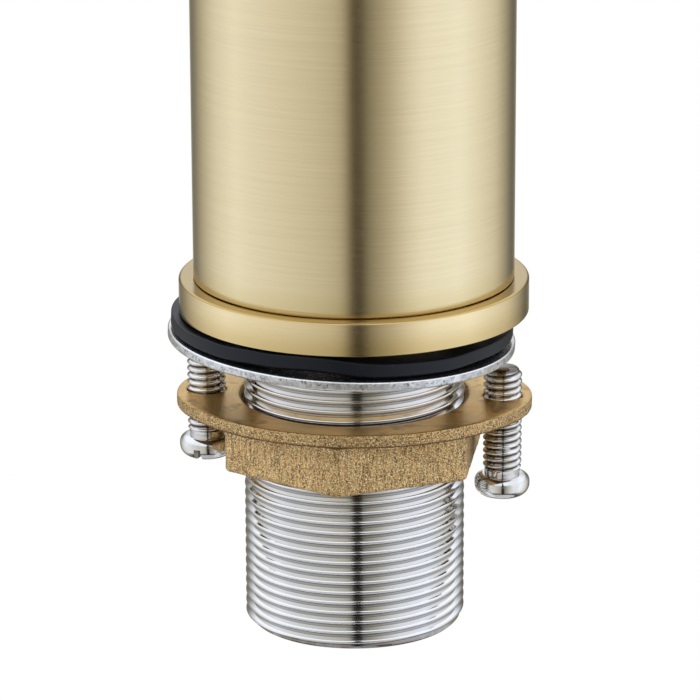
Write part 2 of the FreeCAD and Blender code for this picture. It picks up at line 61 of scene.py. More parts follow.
# %% [markdown]
# ## Sizes
# A dressed piece has to sit exactly on its solid, or a gap opens once the mixer moves. The sizes
# could be typed again from a drawing, but then the two would drift apart. So the frame is measured:
# a box gives a round piece's radius and its two heights. What a box can't tell, such as a wall or
# a lean, is written in millimetres where it is first needed.

# %% Measure the frame
MM = 0.001


def span(node):
    """A node's radius along X, its lowest height and its highest height."""
    low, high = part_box(node)
    return (high.x - low.x) / 2, low.z, high.z


column_r, column_low, column_high = span("column_tube")
ring_r, ring_low, ring_high = span("base_ring")
shank_r, shank_low, shank_high = span("threaded_shank")
for name, radius in (("column", column_r), ("ring", ring_r), ("shank", shank_r)):
    print(name, "radius", round(radius / MM, 2), "mm")

# %% [markdown]
# ## Outlines with real edges
# Turned and cast pieces are never knife sharp, and the thin highlight on a rounded edge is what
# makes them look solid. A Bevel modifier could round the finished mesh, but it spends faces on
# every edge alike. Rounding the outline before it is carried round costs a few points, and each
# corner gets a radius of its own. A spare point beside each arc keeps the arc's shading out of the
# flat next to it.

# %% Round the corners of an outline
def rounded(corners, radii, steps=5, guard=0.12):
    """Replace each corner of an outline in mm by an arc of that radius, and return it in metres.

    The arc's centre lies on the corner's bisector, its ends lie radius / tan(half the corner) away,
    and the arc's points turn evenly from one end to the other."""
    corners = np.array(corners, float)
    points = []
    for index, radius in enumerate(radii):
        here = corners[index]
        if not radius:
            points.append(here[None])
            continue
        back = corners[index - 1] - here
        ahead = corners[(index + 1) % len(corners)] - here
        back_length, ahead_length = np.linalg.norm(back), np.linalg.norm(ahead)
        back, ahead = back / back_length, ahead / ahead_length
        half = math.acos(np.clip(back @ ahead, -1, 1)) / 2
        reach = radius / math.tan(half)
        centre = here + (back + ahead) / np.linalg.norm(back + ahead) * radius / math.sin(half)
        first, last = here + back * reach - centre, here + ahead * reach - centre
        share = np.linspace(0, 1, steps + 1)[:, None]
        sweep = math.pi - 2 * half
        turned = np.sin((1 - share) * sweep) * first + np.sin(share * sweep) * last
        spare = [centre + turned / math.sin(sweep)]
        if back_length > 2.5 * (reach + guard):
            spare.insert(0, (here + back * (reach + guard))[None])
        if ahead_length > 2.5 * (reach + guard):
            spare.append((here + ahead * (reach + guard))[None])
        points += spare
    return np.concatenate(points) * MM


square = rounded([(0, 0), (9, 0), (9, 9), (0, 9)], [1, 1, 1, 1])
print("a square with rounded corners has", len(square), "points")

# %% [markdown]
# ## Surfaces from two numbers
# A surface can be built vertex by vertex, which is slow in Python, or as one grid whose points are
# all worked out at once from two numbers, their row and their column. The grid's cells become the
# faces, and the grid closes on itself where the piece does, as round a ring. Blender then smooths
# the shading everywhere except across the corners that are meant to be seen.

# %% Make an object of a grid
def grid_faces(rows, columns, closed_rows=False, closed_columns=False):
    """The four corners of every cell of a grid, as indices into its flattened points."""
    row = np.arange(rows if closed_rows else rows - 1)
    column = np.arange(columns if closed_columns else columns - 1)
    row, column = np.meshgrid(row, column, indexing="ij")
    next_row, next_column = (row + 1) % rows, (column + 1) % columns
    cells = [row * columns + column, next_row * columns + column]
    cells += [next_row * columns + next_column, row * columns + next_column]
    return np.stack(cells, -1).reshape(-1, 4)


def piece_from(name, points, faces, smooth_under=38.0, weld=0.0):
    """Make an object of points and faces, smooth except across corners over an angle.

    Points closer than the weld become one, and a face that loses its area by that goes."""
    mesh = bpy.data.meshes.new(name)
    mesh.vertices.add(len(points))
    mesh.vertices.foreach_set("co", np.ascontiguousarray(points, np.float32).ravel())
    mesh.loops.add(faces.size)
    mesh.loops.foreach_set("vertex_index", faces.astype(np.int32).ravel())
    mesh.polygons.add(len(faces))
    mesh.polygons.foreach_set("loop_start", np.arange(0, faces.size, 4, dtype=np.int32))
    mesh.update(calc_edges=True)
    if weld:
        work = bmesh.new()
        work.from_mesh(mesh)
        bmesh.ops.remove_doubles(work, verts=work.verts, dist=weld)
        bmesh.ops.dissolve_degenerate(work, edges=work.edges, dist=weld)
        work.to_mesh(mesh)
        work.free()
    mesh.shade_smooth()
    mesh.set_sharp_from_angle(angle=math.radians(smooth_under))
    piece = bpy.data.objects.new(name, mesh)
    bpy.context.scene.collection.objects.link(piece)
    print(name, len(mesh.polygons), "faces")
    return piece


print("a closed grid of 8 by 5 points has", len(grid_faces(8, 5, True, True)), "faces")

# %% [markdown]
# ## Turned pieces
# Column, ring, gasket and washer are all round. Blender's Spin or a Screw modifier would carry an
# outline round an axis too. Worked out as a grid, the seam is closed, the poles are single points
# and the faces point outwards from the start, and the finished points can still be moved.

# %% Carry an outline round the axis
def turn(name, outline, segments=384, poles=False, place=None):
    """Carry an outline of (radius, height) round the axis: x = r cos a, y = r sin a, z = height.

    The outline runs counter-clockwise, so that the faces point outwards. With poles it starts and
    ends on the axis, and otherwise it closes on itself. A place moves the finished points."""
    angle = np.arange(segments) * 2 * math.pi / segments
    radius, height = outline[:, 0], outline[:, 1]
    grid = np.stack(
        [
            np.cos(angle)[:, None] * radius,
            np.sin(angle)[:, None] * radius,
            np.broadcast_to(height, (segments, len(height))),
        ],
        -1,
    )
    points = grid.reshape(-1, 3)
    if place is not None:
        points = place(points)
    faces = grid_faces(segments, len(outline), True, not poles)
    return piece_from(name, points, faces, weld=1e-7 if poles else 0.0)


def off_circle(radius, segments):
    """How far the middle of a flat lies inside the circle, in micrometres."""
    return round(radius * (1 - math.cos(math.pi / segments)) * 1e6, 2)


print("the ring's circle in 384 flats is off by", off_circle(ring_r, 384), "micrometres")

# %% [markdown]
# ## Cutting holes
# The column has a cross hole for the spout's nipple, the nut has two holes for its screws, and each
# screw a driver's slot. A hole that crosses a turned surface could be woven into its grid point by
# point. A Boolean is simpler: the cutter is another closed surface, which is deleted once the
# modifier has been applied.

# %% Cut one piece with others
hole_sides = 96


def settle(piece):
    """Apply every modifier of a piece to its mesh."""
    depsgraph = bpy.context.evaluated_depsgraph_get()
    mesh = bpy.data.meshes.new_from_object(piece.evaluated_get(depsgraph))
    piece.modifiers.clear()
    piece.data = mesh


def cut(piece, *cutters, smooth_under=38.0):
    """Take the cutters out of a piece."""
    for cutter in cutters:
        hole = piece.modifiers.new("hole", "BOOLEAN")
        hole.operation = "DIFFERENCE"
        hole.solver = "EXACT"
        hole.object = cutter
    settle(piece)
    for cutter in cutters:
        bpy.data.objects.remove(cutter)
    piece.data.shade_smooth()
    piece.data.set_sharp_from_angle(angle=math.radians(smooth_under))
    print(piece.name, len(piece.data.polygons), "faces after cutting")


def rod(name, radius, length, matrix):
    """A plain round cutter along its own Z, put in place by a matrix."""
    outline = np.array([(0, 0), (radius, 0), (radius, length), (0, length)])
    cutter = turn(name, outline, hole_sides, poles=True)
    cutter.data.transform(matrix)
    return cutter


print("a hole of 9 mm radius is off by", off_circle(9 * MM, hole_sides), "micrometres")

# %% [markdown]
# ## Shader arithmetic
# A finish is a formula: brush marks are noise stretched along the stroke, and dirt is noise kept to
# the hollows. Such a formula could be wired by hand in the node editor, where it soon becomes a
# tangle. Here one small class wraps a socket and answers to the operators, so that the formula
# reads as plain Python. Each operator adds its Math node and returns the node's output.

# %% A socket that does arithmetic
class Value:
    """A number socket that takes part in arithmetic."""

    def __init__(self, wiring, socket):
        self.wiring, self.socket = wiring, socket

    def math(self, operation, *others):
        """A Math node on this value and the others, for what has no operator."""
        return self.wiring.math(operation, self, *others)

    def __add__(self, other):
        return self.math("ADD", other)

    def __sub__(self, other):
        return self.math("SUBTRACT", other)

    def __rsub__(self, other):
        return self.wiring.math("SUBTRACT", other, self)

    def __mul__(self, other):
        return self.math("MULTIPLY", other)

    def __truediv__(self, other):
        return self.math("DIVIDE", other)

    def __pow__(self, other):
        return self.math("POWER", other)

    __radd__, __rmul__ = __add__, __mul__

    def clamp(self, low, high):
        """Map low..high to 0..1 with soft ends."""
        settings = {"interpolation_type": "SMOOTHSTEP"}
        inputs = {"Value": self, "From Min": low, "From Max": high}
        made = self.wiring.node("ShaderNodeMapRange", settings, inputs)
        return Value(self.wiring, made.outputs["Result"])


print("a socket now answers to + - * / ** and clamp")

# %% [markdown]
# ## One method for every node
# Materials and the world are both trees of nodes. Each node could be made by a few lines of its
# own, but they are always the same three steps: add it, set it up, fill its sockets. One method
# takes them over, and looks after the difference between a number and a link.

# %% Fill a tree with nodes
class Wiring:
    """A node tree that one method fills."""

    def __init__(self, tree):
        self.tree = tree

    def node(self, kind, settings=None, inputs=None):
        """Add a node, set it up, and fill its sockets. A ramp's stops are one of its settings."""
        made = self.tree.nodes.new(kind)
        for name, value in (settings or {}).items():
            if name == "stops":
                self.set_stops(made.color_ramp.elements, value)
            else:
                setattr(made, name, value)
        for name, value in (inputs or {}).items():
            self.feed(made.inputs[name], value)
        return made

    def set_stops(self, elements, stops):
        """Give a ramp its stops, each a position and a colour."""
        while len(elements) < len(stops):
            elements.new(0.5)
        for element, (position, colour) in zip(elements, stops):
            element.position = position
            element.color = (*colour, 1)

    def feed(self, socket, value):
        """Link a value or an output to a socket, or write a number or a colour into it."""
        value = value.socket if isinstance(value, Value) else value
        if isinstance(value, bpy.types.NodeSocket):
            self.tree.links.new(value, socket)
        else:
            socket.default_value = value

    def math(self, operation, *values):
        """A Math node on the values, in their order."""
        made = self.node("ShaderNodeMath", {"operation": operation}, dict(enumerate(values)))
        return Value(self, made.outputs[0])


print("a tree of nodes is now filled by one method")

# %% [markdown]
# ## Patterns for a finish
# Every real finish here is a tone, a gloss and a fine relief that vary together. Images could carry
# them, but an image repeats, and the piece has to be unwrapped for it. Noise on a piece's own
# coordinates fits every shape and stays put when the piece moves. The class below starts from the
# Principled shader and holds the patterns that the finishes share.

# %% A finish and its patterns
class Finish(Wiring):
    """A material on its way: its Principled shader, and the nodes that feed it."""

    def __init__(self, name, **fixed):
        self.material = bpy.data.materials.new(name)
        self.material.use_nodes = True
        super().__init__(self.material.node_tree)
        self.shader = self.tree.nodes["Principled BSDF"]
        self.bumped = None
        for socket, value in fixed.items():
            self.set(socket.replace("_", " ").title().replace("Ior", "IOR"), value)
        self.place = self.node("ShaderNodeTexCoord").outputs["Object"]

    def set(self, name, value):
        """Fill one socket of the Principled shader."""
        if isinstance(value, tuple) and len(value) == 3:
            value = (*value, 1)
        self.feed(self.shader.inputs[name], value)

    def axes(self):
        """The three Object coordinates, as values in metres."""
        parts = self.node("ShaderNodeSeparateXYZ", None, {0: self.place})
        return [Value(self, output) for output in parts.outputs]

    def height(self):
        """How high a point is."""
        return self.axes()[2]

    def radius(self):
        """How far a point is from the column's axis."""
        x, y, _ = self.axes()
        return (x * x + y * y) ** 0.5

    def flat(self):
        """How far the surface faces up or down: 0 on an upright side, 1 on a flat top or bottom."""
        normal = self.node("ShaderNodeTexCoord").outputs["Normal"]
        parts = self.node("ShaderNodeSeparateXYZ", None, {0: normal})
        return Value(self, parts.outputs[2]).math("ABSOLUTE")

    def noise(self, scale, detail=2.0, vector=None, roughness=0.5):
        """Noise of 0..1. Its grains are about 1 / scale of a metre, or of the vector's unit."""
        inputs = {"Vector": vector or self.place, "Scale": scale}
        inputs.update({"Detail": detail, "Roughness": roughness})
        return Value(self, self.node("ShaderNodeTexNoise", None, inputs).outputs[0])

    def stretched(self, flat, third, detail=2.0, roughness=0.5):
        """Noise on (x * flat, y * flat, third): a grain is long where its number grows slowly."""
        x, y, _ = self.axes()
        place = self.node("ShaderNodeCombineXYZ", None, {0: x * flat, 1: y * flat, 2: third})
        return self.noise(1.0, detail, place.outputs[0], roughness)

    def mix(self, share, first, second):
        """A colour between two others."""
        made = self.node("ShaderNodeMix", {"data_type": "RGBA"}, {0: share})
        for socket, colour in ((made.inputs[6], first), (made.inputs[7], second)):
            self.feed(socket, (*colour, 1) if isinstance(colour, tuple) else colour)
        return made.outputs[2]

    def bump(self, height, distance):
        """Raise the surface by a height of 0..1 times a distance in metres. Bumps add up."""
        inputs = {"Height": height, "Distance": distance, "Strength": 1.0}
        if self.bumped:
            inputs["Normal"] = self.bumped
        self.bumped = self.node("ShaderNodeBump", None, inputs).outputs[0]
        self.set("Normal", self.bumped)

    def done(self):
        """Say how large the material has become, and hand it over."""
        print(self.material.name, len(self.tree.nodes), "nodes")
        return self.material


print("patterns:", [name for name in vars(Finish) if not name.startswith("_")])

# %% [markdown]
# ## Brushed gold
# The gold is a thin hard coating on metal that was brushed while it turned, so its marks run round
# the axis, each one long and very fine. The shader's Anisotropic value would stretch the highlights
# without showing a single mark. Noise on a place that is squeezed along the mark and stretched
# across it shows them. Height minus radius grows steadily over the column's side, over a flat top
# and over a dome alike, so one formula brushes all of them in circles.

# %% The brushed finish
def brushed_gold(name, gold, deep, foot, top=None):
    """Noise with grains of 0.2 mm across the marks and some 20 mm along them tints, dulls and bumps.

    Painted shade deepens the gold down to the foot, which is a low and a high height, and a face
    that looks up gets a darker painted reflection."""
    finish = Finish(name, metallic=1.0)
    height = finish.height()
    across = height - finish.radius()
    fine = finish.stretched(60, across * 6500, 3.0, 0.62)
    coarse = finish.stretched(22, across * 1700)
    cloud = finish.noise(26.0)
    marks = (fine * 0.7 + coarse * 0.3).clamp(0.3, 0.7)
    darker, lighter = (tuple(part * factor for part in gold) for factor in (0.965, 1.03))
    tone = finish.mix(marks, darker, lighter)
    # painted shade: the gold darkens towards the foot
    tone = finish.mix(1 - height.clamp(*foot), tone, deep)
    # painted reflection: faces that look up darken towards the top colour
    if top:
        tone = finish.mix(finish.flat().clamp(0.1, 0.6), tone, top)
    finish.set("Base Color", tone)
    finish.set("Roughness", 0.135 + (1 - marks) * 0.03 + cloud * 0.02)
    for relief in (fine, coarse):
        finish.bump(relief, 0.000012)
    return finish.done()


# deep is painted shade at the column's foot, where it meets the ring
column_gold = brushed_gold(
    "brushed gold",
    gold=(0.80, 0.67, 0.415),
    deep=(0.725, 0.59, 0.32),
    foot=(column_low + 0.1 * MM, column_low + 5 * MM),
)
# deep is painted shade low on the ring's side
ring_gold = brushed_gold(
    "ring gold",
    gold=(0.85, 0.685, 0.40),
    deep=(0.67, 0.51, 0.24),
    foot=(ring_low + 0.2 * MM, ring_low + 4.1 * MM),
    # top is a darker painted reflection on the ring's upper faces
    top=(0.56, 0.39, 0.14),
)

# %% [markdown]
# ## Dressing a piece
# Some pieces of the mixer stand still and others travel, and each has one finish. So a new surface
# is told which body it moves with, which finish it carries and which solid it stands for. That
# could be written out for every piece, but one helper keeps it together and forgets nothing.

# %% Dress a piece
def dress(piece, material, body, slot, *replaced):
    """Give a piece its material and the body it moves with, and hide the solids it stands for."""
    piece.data.materials.clear()
    piece.data.materials.append(material)
    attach(piece, body)
    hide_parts(*replaced)
    print(piece.name, "moves with", body, "and stands for", *replaced)


slots = {part["material_slot"] for part in frame["record"]["subparts"]}
print("finishes to give:", len(slots))

# %% [markdown]
# ## The column
# The column is a plain tube that carries everything else. A cylinder would do for its sides, but
# not for the fine relief at its foot, which makes the thin dark line where it meets the ring, so
# its section is drawn as an outline and carried round. Its hole for the spout's nipple is cut out
# as well, though the spout covers it. Two spare corners near the hole keep the cut from reaching
# into the long plain stretch, where it would leave slivers in the shading.

# %% The column
column_wall = 2.0 * MM
relief_deep, relief_low, relief_high = 0.5, 0.08, 0.14
spout_z = (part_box("spout_nipple")[0].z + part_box("spout_nipple")[1].z) / 2
nipple_hole_r, hole_band = 9.05 * MM, 11
inner, outer = (column_r - column_wall) / MM, column_r / MM
foot, hole, top = column_low / MM, spout_z / MM, column_high / MM
column_mm = [
    (inner, foot),
    (outer - relief_deep, foot),
    (outer - relief_deep, foot + relief_low),
    (outer, foot + relief_high),
    (outer, hole - hole_band),
    (outer, hole + hole_band),
    (outer, top),
    (inner, top),
]
column = turn("column", rounded(column_mm, [0, 0, 0, 0.1, 0, 0, 0.1, 0.1]), 512)
towards_front = Matrix.Translation((0, 0, spout_z)) @ Matrix.Rotation(math.radians(90), 4, "X")
cut(column, rod("nipple hole", nipple_hole_r, column_r + MM, towards_front))
dress(column, column_gold, "mixer", "brushed_gold", "column_tube")

# %% [markdown]
# ## The base ring
# The ring stands on the deck, a little wider than the column, and has a groove underneath for the
# foot's seal. It could be one surface with the column, but the real one is a piece of its own, and
# the joint shows. Its upper edge gets a larger radius than the rest, because it draws the bright
# line round the ring.

# %% The ring
bore_gap = 0.05
groove_in, groove_out, groove_roof = 19.24, 21.76, 2.5
inner, outer = shank_r / MM + bore_gap, ring_r / MM
foot, top = ring_low / MM, ring_high / MM
ring_mm = [
    (inner, foot),
    (groove_in, foot),
    (groove_in, groove_roof),
    (groove_out, groove_roof),
    (groove_out, foot),
    (outer, foot),
    (outer, top),
    (inner, top),
]
ring = turn("ring", rounded(ring_mm, [0.1, 0.1, 0.1, 0.1, 0.1, 0.15, 0.35, 0.1]), 512)
dress(ring, ring_gold, "mixer", "brushed_gold", "base_ring")

# %% [markdown]
# ## How the loose pieces lie
# Nothing clamps the gasket and the washer in the picture, so they lie pushed to the left with their
# left side up. They could be tilted as objects, but a finished piece stays at the origin unturned,
# so their points are leaned: a small turn about Y, a shift along X and a drop. Rubber is soft and
# lies unevenly too. Sculpting would show that, but a curve through a few heights round the ring can
# be read and changed.

# %% Lean and unevenness
lean_angle = math.radians(2.75)
lean_shift = -1.65 * MM
gasket_r, gasket_thick = 24.6, 2.4
lean_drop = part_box("rubber_gasket")[1].z - gasket_r * MM * math.sin(lean_angle)
wave_at = np.radians([-180, -140, -100, -67, -46, -28, -10, 14, 36, 54, 75, 130, 180])
wave_by = MM * np.array([0.1, -0.1, 0, -0.25, 0, 0.4, 0.75, 0.08, 0.08, 0.42, 0.38, 0.3, 0.1])


def lean(points):
    """x' = x cos t + z sin t + shift, z' = z cos t - x sin t + drop."""
    x, y, z = points.T
    turned_x = x * math.cos(lean_angle) + z * math.sin(lean_angle) + lean_shift
    turned_z = z * math.cos(lean_angle) - x * math.sin(lean_angle) + lean_drop
    return np.stack([turned_x, y, turned_z], -1)


def wavy(points):
    """Lift by a curve that goes from height to height round the ring as a cosine does, then lean.

    A lift moves the whole section. A dip only pulls its top down, by share of height ** 0.7."""
    points = points.copy()
    angle = np.arctan2(points[:, 0], -points[:, 1])
    index = np.clip(np.searchsorted(wave_at, angle) - 1, 0, len(wave_at) - 2)
    share = (angle - wave_at[index]) / (wave_at[index + 1] - wave_at[index])
    share = (1 - np.cos(math.pi * share)) / 2
    lift = wave_by[index] * (1 - share) + wave_by[index + 1] * share
    height = np.clip((points[:, 2] / MM + gasket_thick) / gasket_thick, 0, 1)
    points[:, 2] += np.where(lift > 0, lift, lift * height**0.7)
    return lean(points)


print("the left edge lies", round(gasket_r * math.sin(lean_angle), 2), "mm over the middle")

# %% [markdown]
# ## The gasket and the washer
# The gasket is moulded, with a bevel round its lower edge. The washer is punched out of sheet, so
# its edges differ from side to side. A Bevel modifier would round all of these edges by the same
# radius. An outline for each piece gives every edge its own.

# %% The gasket and the washer
gasket_bore, bevel_wide, bevel_tall = 18.0, 1.1, 0.6
washer_bore, washer_r, washer_thick = 18.3, 25.0, 1.35
washer_low = -gasket_thick - washer_thick
gasket_mm = [
    (gasket_bore, -gasket_thick),
    (gasket_r - bevel_wide, -gasket_thick),
    (gasket_r, bevel_tall - gasket_thick),
    (gasket_r, 0.0),
    (gasket_bore, 0.0),
]
washer_mm = [
    (washer_bore, washer_low),
    (washer_r, washer_low),
    (washer_r, -gasket_thick),
    (washer_bore, -gasket_thick),
]
gasket = turn("gasket", rounded(gasket_mm, [0.2, 0.25, 0.3, 0.22, 0.2]), place=wavy)
washer = turn("washer", rounded(washer_mm, [0.1, 0.3, 0.24, 0.1]), place=lean)

# %% [markdown]
# ## Black rubber
# Moulded rubber is nearly black and a little glossy, with a fine grain and a few pale specks of
# dust. A plain dark colour would look like a hole in the picture. So one noise shifts the tone and
# the gloss in patches, a finer one is the grain, and only the peaks of a third one are specks.

# %% Black rubber
def black_rubber():
    """Dark tone and gloss in patches, grain as a bump, and dust where a noise is over 0.72."""
    finish = Finish("black rubber", specular_ior_level=0.26)
    grain = finish.noise(2600.0, 3.0)
    patch = finish.noise(180.0)
    dust = finish.noise(1500.0, 1.0).clamp(0.72, 0.80)
    tone = finish.mix(patch, (0.003, 0.0042, 0.0075), (0.007, 0.0095, 0.0145))
    finish.set("Base Color", finish.mix(dust * 0.2, tone, (0.05, 0.05, 0.05)))
    finish.set("Roughness", 0.30 + patch * 0.12 + grain * 0.06)
    finish.bump(grain, 0.000012)
    finish.bump(patch, 0.00004)
    return finish.done()


rubber = black_rubber()
dress(gasket, rubber, "washers", "black_rubber", "rubber_gasket")

# %% [markdown]
# ## Punched steel
# The washer's faces are rolled bright. Its edge is duller and grainy, because there the sheet was
# sheared and broke away. Faces and edge could carry two materials, but their border would be a hard
# line. One material asks how far the surface faces up, and fades from the one to the other.

# %% Punched steel
def washer_steel():
    """Bright on the flat, and on the upright side a dull mottle with pits and streaks of shear."""
    finish = Finish("washer steel", metallic=1.0)
    mottle = finish.noise(900.0, 4.0, roughness=0.65)
    pits = finish.noise(2600.0).clamp(0.56, 0.72)
    shear = finish.stretched(2600, finish.height() * 700)
    side = 1 - finish.flat().clamp(0.12, 0.4)
    tone = finish.mix(mottle, (0.80, 0.79, 0.77), (0.95, 0.94, 0.92))
    dull = finish.mix(mottle.clamp(0.35, 0.65), (0.47, 0.465, 0.455), (0.76, 0.75, 0.735))
    dull = finish.mix(pits, dull, (0.21, 0.20, 0.185))
    finish.set("Base Color", finish.mix(side, tone, dull))
    finish.set("Roughness", 0.20 + mottle * 0.12 + side * 0.14)
    finish.bump(mottle, 0.00002)
    finish.bump(shear * side, 0.00006)
    return finish.done()


steel = washer_steel()
dress(washer, steel, "washers", "washer_steel", "steel_washer")

# %% [markdown]
# ## One groove of a thread
# Shank and screws have cut threads with flanks at 60 degrees, a rounded crest and a tighter root.
# A bump map could suggest them, but the shank's edge would stay straight against the white
# background, and there the eye looks first. So the thread is real, and starts with one groove.

# %% One groove
def groove(pitch, depth, crest_round=0.27, root_round=0.12):
    """One groove of a thread: how far down and how deep each of its points is, in metres.

    Two arcs of the crest's radius meet on top of it, each turning by 60 degrees, so that the crest
    is 2 * radius * tan(30 degrees) wide. The flanks take depth * tan(30 degrees) each, and the root
    takes the rest."""
    slope = math.tan(math.radians(30))
    flank = depth * slope
    crest_half = crest_round * slope
    corners = [
        (-crest_half, 0.0),
        (crest_half, 0.0),
        (crest_half + flank, depth),
        (pitch - crest_half - flank, depth),
        (pitch - crest_half, 0.0),
        (pitch + crest_half, 0.0),
    ]
    radii = [0, crest_round, root_round, root_round, crest_round, 0]
    path = rounded(corners, radii, steps=3, guard=1.0)
    down, deep = path[:, 0], path[:, 1]
    keep = (down >= crest_half * MM * 0.2) & (down < (pitch + crest_half * 0.2) * MM)
    return down[keep], deep[keep]


print("a groove of 1.5 mm has", len(groove(1.5, 0.8)[0]), "points")

# %% [markdown]
# ## A thread as a surface
# The Screw modifier climbs while it turns, but leaves both ends open and ragged. On a grid the
# thread closes: one number is the angle and the other counts points down the groove's outline,
# groove after groove, so a row that ends at a full turn meets the row one groove further on. The
# ends are cut by taking the smaller of the thread's radius and a cone's, and points past an end are
# drawn back onto it.

# %% A thread as a surface
def threaded(form, low, high, ends, segments, before, after):
    """A threaded bar or tube from its upper end down to its lower end, along its own Z axis.

    z = height + pitch * angle / turn - distance down, and r = radius - depth of the groove there,
    but no more than a 45 degree cone from each end's radius. The rows before and after the thread
    are plain (radius, height) outlines. The form is the thread's crest radius, pitch and depth."""
    radius, pitch, depth = form
    down, deep = groove(pitch / MM, depth / MM)
    turns = int(math.ceil((high - low) / pitch)) + 2
    down = (down + np.arange(turns)[:, None] * pitch).ravel()
    deep = np.tile(deep, turns)
    share = np.linspace(0, 1, segments + 1)[:, None]
    height = high + pitch * share - down
    cone = np.minimum(ends[0] + (height - low), ends[1] + (high - height))
    bar = np.minimum(radius - deep, cone)
    bar = np.where(height <= low, ends[0], np.where(height >= high, ends[1], bar))
    height = np.clip(height, low, high)
    first = np.broadcast_to(before[None], (segments + 1, *before.shape))
    last = np.broadcast_to(after[None], (segments + 1, *after.shape))
    bar = np.concatenate([first[..., 0], bar, last[..., 0]], 1)
    height = np.concatenate([first[..., 1], height, last[..., 1]], 1)
    angle = share * 2 * math.pi
    points = np.stack([bar * np.cos(angle), bar * np.sin(angle), height], -1)
    faces = grid_faces(*points.shape[:2])[:, ::-1]
    return points.reshape(-1, 3), faces


print("a thread of 30 mm has", math.ceil(30 / 1.5) + 2, "grooves, one spare at each end")

# %% [markdown]
# ## The shank
# The shank is the hollow threaded pipe that goes through the basin. Its thread runs from a
# chamfered lower end up into the ring. The bore could be a Boolean, but the surface can simply go
# on: above and below the thread it follows a plain outline through the bore, and the tube is
# closed.

# %% The shank
shank_wall = 2.45 * MM
shank_pitch, shank_depth = 1.5 * MM, 0.80 * MM
shank_end = shank_r - 0.90 * MM
thread_top = ring_low + 1.45 * MM
bore_r, shoulder_r = shank_r - shank_wall, shank_r - MM
above_thread = [(bore_r, shank_high), (shoulder_r, shank_high), (shoulder_r, thread_top + MM)]
through_bore = [
    (bore_r + 0.5 * MM, shank_low),
    (bore_r + 0.1 * MM, shank_low + 0.1 * MM),
    (bore_r, shank_low + 0.4 * MM),
    (bore_r, shank_low + 1.5 * MM),
    (bore_r, shank_high),
]
shank_points, shank_faces = threaded(
    form=(shank_r, shank_pitch, shank_depth),
    low=shank_low,
    high=thread_top,
    ends=(shank_end, shank_end),
    segments=144,
    before=np.array(above_thread),
    after=np.array(through_bore),
)
shank = piece_from("shank", shank_points, shank_faces, 60.0, weld=2e-6)

# %% [markdown]
# ## Nickel plate
# Shank and screws are plated with bright nickel. The bottom of a thread gets painted shade, grey on
# the shank and near black on the screws, and the shank's sawn end shows the brass. The shaded parts
# could be painted by hand, turn after turn. But the distance from a thread's axis already tells the
# crest from the root, so the painted shade follows the thread by itself. Shank and screws share one
# function, and each brings its own hollows.

# %% Nickel plate
def nickel(name, hollow):
    """A bright cloudy tone, then each of the hollows' colours mixed in by its share."""
    finish = Finish(name, metallic=1.0)
    ripple = finish.noise(700.0, 3.0)
    cloud = finish.noise(120.0, 3.0)
    tone = finish.mix(cloud, (0.80, 0.785, 0.76), (0.88, 0.865, 0.84))
    for share, colour in hollow(finish):
        tone = finish.mix(share, tone, colour)
    finish.set("Base Color", tone)
    finish.set("Roughness", 0.07 + cloud * 0.06)
    finish.bump(ripple, 0.000004)
    return finish.done()


def shank_hollow(finish):
    """Painted shade, grey, in the bottom of the shank's thread, and brown brass on its sawn lower
    end.
    """
    # painted shade: grey in the roots of the thread
    root = 1 - finish.radius().clamp(shank_r - shank_depth, shank_r - shank_depth * 0.7)
    end = 1 - finish.height().clamp(shank_low + 0.1 * MM, shank_low + 0.9 * MM)
    spread = finish.noise(420.0, 3.0).clamp(0.3, 0.6)
    return (root * 0.8, (0.26, 0.255, 0.25)), (end * spread * 0.8, (0.20, 0.12, 0.07))


shank_plate = nickel("plated shank", shank_hollow)
dress(shank, shank_plate, "mixer", "plated_shank", "threaded_shank")

# %% [markdown]
# ## The backnut's outlines
# The backnut is a casting: an oval plate over a hexagon. It could be joined from a prism and a
# stretched disc, but the soft fillet between them would be hard to get. Seen from the axis, every
# outline round the nut has just one radius at each angle: one for the bore, one for the hexagon and
# one for the plate. With those three the whole nut becomes one surface.

# %% Hexagon and plate
nut_turn = math.radians(-5.0)
hex_turn = math.radians(-7.7)
hex_flat, hex_corner = 17.4, 1.4
plate_half, plate_side, plate_end = 25.67, 20.79, 14.0
plate_high, plate_low, hex_low = -12.75, -14.8, -22.35
nut_bore = shank_r / MM + bore_gap


def hexagon_radius(angle):
    """Flat / cos(angle from the flat's middle), and near a corner the corner circle's far side."""
    half = math.radians(30)
    from_flat = (angle - hex_turn + half) % (2 * half) - half
    centre = (hex_flat - hex_corner) / math.cos(half)
    tangent = math.atan((hex_flat - hex_corner) * math.tan(half) / hex_flat)
    from_corner = half - np.abs(from_flat)
    inside = np.maximum(hex_corner**2 - (centre * np.sin(from_corner)) ** 2, 0)
    round_part = centre * np.cos(from_corner) + np.sqrt(inside)
    return np.where(np.abs(from_flat) > tangent, round_part, hex_flat / np.cos(from_flat))


def plate_radius(angle):
    """The ray from the axis meets a wide arc along the sides and a smaller one at the two ends.

    The two arcs meet smoothly, on the line through both centres."""
    end_x = plate_half - plate_end
    wide = (end_x**2 + plate_side**2 - plate_end**2) / (2 * (plate_side - plate_end))
    centre_y = wide - plate_side
    stretch = wide / math.hypot(end_x, centre_y)
    join = math.atan2(centre_y * (stretch - 1), end_x * stretch)
    cos, sin = np.abs(np.cos(angle - nut_turn)), np.abs(np.sin(angle - nut_turn))
    side_part = -centre_y * sin + np.sqrt((centre_y * sin) ** 2 - centre_y**2 + wide**2)
    end_part = end_x * cos + np.sqrt((end_x * cos) ** 2 - end_x**2 + plate_end**2)
    return np.where(np.arctan2(sin, cos) > join, side_part, end_part)


for name, outline in (("hexagon", hexagon_radius), ("plate", plate_radius)):
    radii = outline(np.radians(np.arange(0, 360, 0.5)))
    print(name, "radius", round(float(radii.min()), 2), "to", round(float(radii.max()), 2), "mm")

